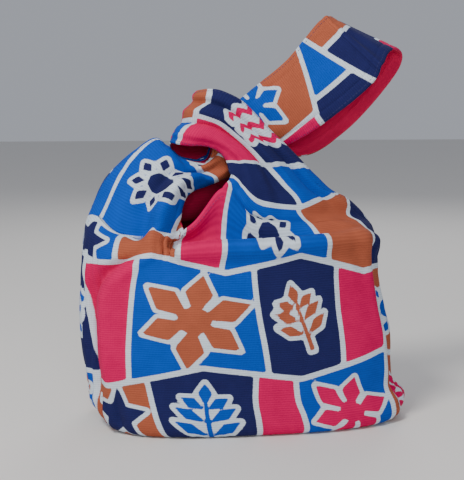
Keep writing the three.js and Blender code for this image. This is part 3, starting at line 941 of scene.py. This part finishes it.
def add_node(tree, kind, values=None, links=None, **settings):
    """A new node with its settings, values on its sockets and links into them."""
    made = tree.nodes.new(kind)
    for name, value in settings.items():
        setattr(made, name, value)
    set_sockets(made, values or {})
    for socket, source in (links or {}).items():
        tree.links.new(source, made.inputs[socket])
    return made


def link_object(name, mesh):
    made = bpy.data.objects.new(name, mesh)
    bpy.context.collection.objects.link(made)
    return made


def pulls_of(panel):
    """How each seam vertex moves in from the seam, towards its own panel."""
    pull = np.zeros_like(surface)
    body = grids[panel][0]["ids"]
    for line in (body[0], body[:, 0], body[:, -1]):
        pull[line] = (0, SIDES[panel] * SEAM_GAP / 2, 0)
    for grid in grids[panel][1:]:
        ids = grid["ids"]
        inward = surface[ids[-2]] - surface[ids[-1]]
        pull[ids[-1]] = inward / np.linalg.norm(inward, axis=1, keepdims=True) * SEAM_GAP / 2
    return pull


def layer_points(panel, used, outside):
    """The far face's points of a layer, then its near face's."""
    rounding = np.clip(edge[used] / EDGE_ROUNDING, 0, 1)
    full = np.maximum(np.sqrt(1 - (1 - rounding) ** 2), THINNEST)
    near = LAYER_GAP / 2 * np.maximum(rounding, NARROWEST_GAP)
    thickness = OUTER_CLOTH if outside else LINING_CLOTH
    if outside:
        thickness = thickness - SEAM_DIP * bell(seam[used], 0, SEAM_DIP_SPREAD)
    far = near + thickness * full
    out = normal[used] * (1 if outside else -1)
    base = placed(surface[used] + pulls_of(panel)[used])
    return np.concatenate([base + out * far[:, None], base + out * near[:, None]])


def closed_faces(faces, count):
    """Far faces, near faces turned over, and a rim between them."""
    near = faces[:, ::-1] + count
    sides = np.stack([faces, np.roll(faces, -1, 1)], 2).reshape(-1, 2)
    key = sides[:, 0] * (count + 1) + sides[:, 1]
    other = sides[:, 1] * (count + 1) + sides[:, 0]
    rim = sides[~np.isin(key, other)]
    rim_faces = np.stack([rim[:, 1], rim[:, 0], rim[:, 0] + count, rim[:, 1] + count], 1)
    return np.concatenate([faces, near, rim_faces])


def lay_flat(mesh, panel, used):
    """Cloth coordinates in millimetres for both faces of a layer, also kept as its UV map."""
    flat = np.zeros((len(surface), 2))
    for grid in grids[panel][::-1]:
        flat[grid["ids"].ravel()] = np.stack([grid["u"].ravel(), grid["v"].ravel()], 1)
    flat = np.concatenate([flat[used], flat[used]])
    loops = np.zeros(len(mesh.loops), int)
    mesh.loops.foreach_get("vertex_index", loops)
    cloth = mesh.uv_layers.new(name="cloth")
    cloth.uv.foreach_set("vector", (flat[loops] / UV_UNIT).ravel())
    return flat


def layer(name, panel, outside):
    """One layer of one panel as a closed mesh."""
    used = np.unique(FACES[panel])
    local = np.full(len(surface), -1)
    local[used] = np.arange(len(used))
    faces = local[FACES[panel]]
    faces = closed_faces(faces if outside else faces[:, ::-1], len(used))
    mesh = bpy.data.meshes.new(name)
    mesh.from_pydata((layer_points(panel, used, outside) * METRES).tolist(), [], faces.tolist())
    mesh.update()
    mesh.shade_smooth()
    flat = lay_flat(mesh, panel, used)
    if outside:
        u = flat[:, 0] if panel == "front" else BACK_PRINT_SHIFT - flat[:, 0]
        for colour, values in print_fields(u, flat[:, 1]).items():
            attribute = mesh.attributes.new(colour, "FLOAT", "POINT")
            attribute.data.foreach_set("value", values.astype(np.float32))
    return link_object(name, mesh)


# Stitching: Geometry Nodes set short threads along lines a little in from the sewn edges.
STITCH_LIFT = 0.05
STITCH_SIZES = {"Stitch pitch": 0.0029, "Stitch length": 0.0021, "Thread radius": 0.00017}


def stitch_points(grid):
    return surface[grid["ids"]] + normal[grid["ids"]] * (OUTER_FACE + STITCH_LIFT)


def edge_line(grid, from_right):
    """Stitch points along one edge of a strap half, on its outer face."""
    points = stitch_points(grid)
    if from_right:
        points = points[:, ::-1]
    made = []
    for row, length in zip(points, lengths_across(points)):
        made.append([np.interp(STITCH_INSET, length, row[:, axis]) for axis in range(3)])
    return np.array(made)


def mouth_line(grid):
    """Stitch points under the mouth's edge of a body panel."""
    down = grid["v"][-1, 0] - grid["v"][:, 0]
    row = np.argmin(np.abs(down - STITCH_INSET))
    return stitch_points(grid)[row, LEFT_END - 1 : RIGHT_START + 2]


def stitch_tree(thread):
    """Short threads set along lines, with their sizes as inputs."""
    tree = bpy.data.node_groups.new("stitch row", "GeometryNodeTree")
    face = tree.interface
    face.new_socket("Geometry", in_out="INPUT", socket_type="NodeSocketGeometry")
    for name, size in STITCH_SIZES.items():
        socket = face.new_socket(name, in_out="INPUT", socket_type="NodeSocketFloat")
        socket.default_value = size
    face.new_socket("Geometry", in_out="OUTPUT", socket_type="NodeSocketGeometry")
    given = tree.nodes.new("NodeGroupInput").outputs
    line = add_node(tree, "GeometryNodeMeshToCurve", links={"Mesh": given["Geometry"]})
    spots = add_node(
        tree,
        "GeometryNodeCurveToPoints",
        links={"Curve": line.outputs["Curve"], "Length": given["Stitch pitch"]},
        mode="LENGTH",
    )
    ball = add_node(tree, "GeometryNodeMeshIcoSphere", {"Radius": 1.0, "Subdivisions": 2})
    half = add_node(
        tree, "ShaderNodeMath", {1: 0.5}, {0: given["Stitch length"]}, operation="MULTIPLY"
    )
    radius = given["Thread radius"]
    sizes = {"X": radius, "Y": radius, "Z": half.outputs[0]}
    drawn_out = add_node(tree, "ShaderNodeCombineXYZ", links=sizes)
    stitch = add_node(
        tree,
        "GeometryNodeTransform",
        links={"Geometry": ball.outputs["Mesh"], "Scale": drawn_out.outputs["Vector"]},
    )
    row = add_node(
        tree,
        "GeometryNodeInstanceOnPoints",
        links={
            "Points": spots.outputs["Points"],
            "Rotation": spots.outputs["Rotation"],
            "Instance": stitch.outputs["Geometry"],
        },
    )
    shaded = add_node(
        tree, "GeometryNodeSetShadeSmooth", links={"Geometry": row.outputs["Instances"]}
    )
    real = add_node(
        tree, "GeometryNodeRealizeInstances", links={"Geometry": shaded.outputs["Geometry"]}
    )
    coloured = add_node(
        tree, "GeometryNodeSetMaterial", {"Material": thread}, {"Geometry": real.outputs["Geometry"]}
    )
    add_node(tree, "NodeGroupOutput", links={"Geometry": coloured.outputs["Geometry"]})
    return tree


def stitches(name, lines, tree, thread):
    """One plain mesh of threads along several lines."""
    points, edges = [], []
    for line in lines:
        first = len(points)
        points += (placed(line) * METRES).tolist()
        edges += [(k, k + 1) for k in range(first, len(points) - 1)]
    mesh = bpy.data.meshes.new(name + " line")
    mesh.from_pydata(points, edges, [])
    guide = link_object(name + " line", mesh)
    modifier = guide.modifiers.new("stitch row", "NODES")
    modifier.node_group = tree
    for socket in tree.interface.items_tree:
        if socket.in_out == "INPUT" and socket.name in STITCH_SIZES:
            modifier[socket.identifier] = STITCH_SIZES[socket.name]
    seen = guide.evaluated_get(bpy.context.evaluated_depsgraph_get())
    made_mesh = bpy.data.meshes.new_from_object(seen)
    made_mesh.name = name
    made_mesh.materials.clear()
    made_mesh.materials.append(thread)
    bpy.data.objects.remove(guide)
    return link_object(name, made_mesh)


# Finishes.
CROSS_THREADS = 1.5
CROSS_SHARE = 0.68
THREAD_WAVES = {"Distortion": 1.2, "Detail": 2, "Detail Scale": 1.5}
# How much lighter a thread's top is painted than the cloth's own colour, as a share of the painted
# shade in the grooves.
LIT_SHARE = 0.4
RELIEF_STRENGTH = 0.55
CLOUDS = {"Scale": 9, "Detail": 5}
CLOUD_ENDS = (0.3, 0.7)
CLOUD_TONES = (0.93, 1.05)
BLEED_NOISE = {"Scale": 90, "Detail": 2}
BLEED = 0.35
INK_EDGE = 0.25
CLOTH_SURFACE = {
    "Roughness": 0.86,
    "Specular IOR Level": 0.1,
    "Sheen Weight": 0.02,
    "Sheen Roughness": 0.45,
}
LINING_COLOUR = (0.56, 0.014, 0.070)
THREAD_COLOUR = (0.03, 0.035, 0.12)
THREAD_ROUGHNESS = 0.7


def new_material(name):
    material = bpy.data.materials.new(name)
    material.use_nodes = True
    return material, material.node_tree, material.node_tree.nodes["Principled BSDF"]


def plain_material(name, colour, roughness):
    material, _, shader = new_material(name)
    set_sockets(shader, {"Base Color": (*colour, 1), "Roughness": roughness})
    return material


def plain_colour(tree, colour):
    made = tree.nodes.new("ShaderNodeRGB")
    made.outputs[0].default_value = (*colour, 1)
    return made.outputs[0]


def cloth_map(tree):
    return add_node(tree, "ShaderNodeUVMap", uv_map="cloth").outputs["UV"]


def mapped(tree, value, ends, results):
    """A value brought from between two ends to between two results."""
    ranges = {"From Min": ends[0], "From Max": ends[1], "To Min": results[0], "To Max": results[1]}
    return add_node(tree, "ShaderNodeMapRange", ranges, {"Value": value}).outputs["Result"]


def cloth_noise(tree, sizes):
    return add_node(tree, "ShaderNodeTexNoise", sizes, {"Vector": cloth_map(tree)}).outputs["Fac"]


def thread_waves(tree, direction, threads):
    waves = add_node(
        tree,
        "ShaderNodeTexWave",
        {"Scale": threads, **THREAD_WAVES},
        {"Vector": cloth_map(tree)},
        bands_direction=direction,
    )
    return waves.outputs["Fac"]


def weave(tree, shader, colour, threads, depth, shade):
    """A plain weave with heavier cross threads, in relief and in painted shade: the colour is
    painted darker in the grooves between threads and lighter on their tops.
    """
    along = thread_waves(tree, "X", threads * CROSS_THREADS)
    across = thread_waves(tree, "Y", threads)
    both = add_node(tree, "ShaderNodeMix", {"Factor": CROSS_SHARE}, {"A": along, "B": across})
    height = both.outputs["Result"]
    # Painted shade: the colour is darker where the threads dip and lighter on their tops, following
    # the relief's height.
    painted_thread_shade = mapped(tree, height, (0, 1), (1 - shade, 1 + shade * LIT_SHARE))
    clouds = mapped(tree, cloth_noise(tree, CLOUDS), CLOUD_ENDS, CLOUD_TONES)
    product = add_node(tree, "ShaderNodeMath", links={0: painted_thread_shade, 1: clouds}, operation="MULTIPLY")
    toned = add_node(
        tree,
        "ShaderNodeVectorMath",
        links={"Vector": colour, "Scale": product.outputs[0]},
        operation="SCALE",
    )
    sizes = {"Strength": RELIEF_STRENGTH, "Distance": depth}
    relief = add_node(tree, "ShaderNodeBump", sizes, {"Height": height})
    tree.links.new(toned.outputs["Vector"], shader.inputs["Base Color"])
    tree.links.new(relief.outputs["Normal"], shader.inputs["Normal"])
    set_sockets(shader, CLOTH_SURFACE)


def printed_cloth():
    """Off-white cotton, inked in four colours where the print's distances fall below zero."""
    material, tree, shader = new_material("printed cotton")
    bleed = mapped(tree, cloth_noise(tree, BLEED_NOISE), (0, 1), (-BLEED, BLEED))
    colour = plain_colour(tree, OFF_WHITE)
    for name, value in COLOURS.items():
        distance = add_node(tree, "ShaderNodeAttribute", attribute_name=name).outputs["Fac"]
        wavering = add_node(tree, "ShaderNodeMath", links={0: distance, 1: bleed})
        inked = mapped(tree, wavering.outputs[0], (INK_EDGE, -INK_EDGE), (0, 1))
        ink = add_node(
            tree,
            "ShaderNodeMix",
            {"B": (*value, 1)},
            {"Factor": inked, "A": colour},
            data_type="RGBA",
        )
        colour = ink.outputs["Result"]
    weave(tree, shader, colour, threads=18.5, depth=0.0003, shade=0.16)
    return material


def lining_cloth():
    material, tree, shader = new_material("crimson lining cotton")
    colour = plain_colour(tree, LINING_COLOUR)
    weave(tree, shader, colour, threads=30, depth=0.0002, shade=0.12)
    return material


outer_material = printed_cloth()
lining_material = lining_cloth()
thread_material = plain_material("sewing thread", THREAD_COLOUR, THREAD_ROUGHNESS)
tree = stitch_tree(thread_material)
for panel in SIDES:
    outer = layer(f"printed_cloth_{panel}", panel, True)
    outer.data.materials.append(outer_material)
    inner = layer(f"lining_cloth_{panel}", panel, False)
    inner.data.materials.append(lining_material)
    body, long_strap, short_strap = grids[panel]
    lines = [mouth_line(body)]
    for strap in (long_strap, short_strap):
        lines += [edge_line(strap, False), edge_line(strap, True)]
    threads = stitches(f"edge_stitching_{panel}", lines, tree, thread_material)
    for piece, node in ((outer, f"outer_{panel}"), (inner, f"lining_{panel}")):
        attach(piece, "root")
        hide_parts(node)
    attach(threads, "root")

# Floor, light and camera.
FLOOR_CORNERS = [(-4, -4, 0), (4, -4, 0), (4, 6, 0), (-4, 6, 0)]
FLOOR_COLOUR = (0.72, 0.70, 0.67)
FLOOR_ROUGHNESS = 0.9
SKY = {"Color": (0.86, 0.9, 1.0, 1), "Strength": 0.42}
floor_mesh = bpy.data.meshes.new("floor")
floor_mesh.from_pydata(FLOOR_CORNERS, [], [range(len(FLOOR_CORNERS))])
floor_mesh.materials.append(plain_material("pale floor", FLOOR_COLOUR, FLOOR_ROUGHNESS))
link_object("floor", floor_mesh)

world = bpy.data.worlds.new("studio")
world.use_nodes = True
set_sockets(world.node_tree.nodes["Background"], SKY)
bpy.context.scene.world = world


def soft_light(name, place, aim, size, watts, colour):
    lamp = bpy.data.lights.new(name, "AREA")
    lamp.shape = "DISK"
    lamp.size = size
    lamp.energy = watts
    lamp.color = colour
    made = link_object(name, lamp)
    made.location = place
    made.rotation_euler = (Vector(aim) - Vector(place)).to_track_quat("-Z", "Y").to_euler()


for light in table(
    "name place aim size watts colour",
    ("key light", (-0.75, -0.75, 1.35), (0, 0, 0.15), 0.45, 20, (1.0, 0.98, 0.95)),
    ("fill light", (-0.05, -1.3, 0.5), (0, 0, 0.17), 0.5, 5, (0.96, 0.97, 1.0)),
    ("back light", (0.4, 1.2, 1.1), (0, 0, 0.2), 0.8, 6, (1.0, 1.0, 1.0)),
):
    soft_light(**light)

PHOTO_WIDTH, PHOTO_HEIGHT = 464, 480
CAMERA_TURN, CAMERA_RISE = math.radians(-8), math.radians(6)
CAMERA_DISTANCE = 0.8
SENSOR_WIDTH = 36
PIXEL = 0.79 * METRES
AIM = Vector((CENTRE_SHIFT * METRES, 0, 0.165))
AIM_COLUMN, AIM_ROW = 242.0, 209.8
camera_data = bpy.data.cameras.new("photo camera")
camera_data.sensor_fit = "HORIZONTAL"
camera_data.sensor_width = SENSOR_WIDTH
camera_data.lens = SENSOR_WIDTH * CAMERA_DISTANCE / (PHOTO_WIDTH * PIXEL)
camera_data.shift_x = (PHOTO_WIDTH / 2 - AIM_COLUMN) / PHOTO_WIDTH
camera_data.shift_y = (AIM_ROW - PHOTO_HEIGHT / 2) / PHOTO_WIDTH
camera_data.clip_start = 0.01
camera = link_object("photo camera", camera_data)
level_part = math.cos(CAMERA_RISE)
away_x, away_y = math.sin(CAMERA_TURN) * level_part, -math.cos(CAMERA_TURN) * level_part
away = Vector((away_x, away_y, math.sin(CAMERA_RISE)))
camera.location = AIM + away * CAMERA_DISTANCE
camera.rotation_euler = (-away).to_track_quat("-Z", "Y").to_euler()
bpy.context.scene.camera = camera
